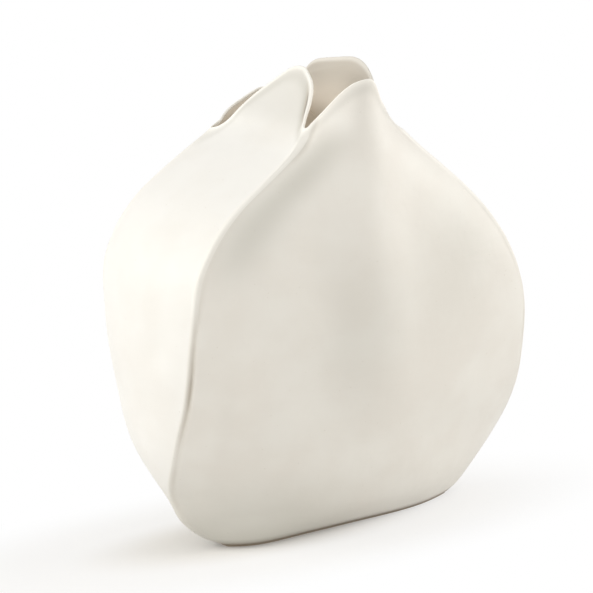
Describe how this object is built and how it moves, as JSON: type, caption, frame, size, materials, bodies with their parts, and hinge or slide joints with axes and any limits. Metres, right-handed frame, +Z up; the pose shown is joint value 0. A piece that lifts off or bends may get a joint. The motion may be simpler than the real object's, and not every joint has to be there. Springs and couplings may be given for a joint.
{
  "type": "pillow vase",
  "caption": "Hollow slab-built ceramic pillow vase with a swelling rounded body, raised side seams, a wavy petal-shaped mouth and a narrow flat foot.",
  "frame": {"origin": "on the surface that the vase stands on, under the centre of its bounding box", "axes": "+Z up through the mouth; +X to the right along the wide front and back panels; +Y from the front panel to the back panel, the thin way through the pillow"},
  "size_m": [0.2785, 0.162, 0.3001],
  "materials": {
    "base_slab": "satin warm-white porcelain",
    "front_panel": "satin warm-white porcelain",
    "back_panel": "satin warm-white porcelain",
    "left_gusset": "satin warm-white porcelain",
    "right_gusset": "satin warm-white porcelain",
    "front_left_seam": "satin warm-white porcelain",
    "front_right_seam": "satin warm-white porcelain",
    "back_right_seam": "satin warm-white porcelain",
    "back_left_seam": "satin warm-white porcelain",
    "left_corner_seam": "satin warm-white porcelain",
    "right_corner_seam": "satin warm-white porcelain"
  },
  "bodies": {
    "root": {"base_slab": "base_slab", "front_panel": "front_panel", "back_panel": "back_panel", "left_gusset": "left_gusset", "right_gusset": "right_gusset", "front_left_seam": "front_left_seam", "front_right_seam": "front_right_seam", "back_right_seam": "back_right_seam", "back_left_seam": "back_left_seam", "left_corner_seam": "left_corner_seam", "right_corner_seam": "right_corner_seam"}
  },
  "joints": []
}
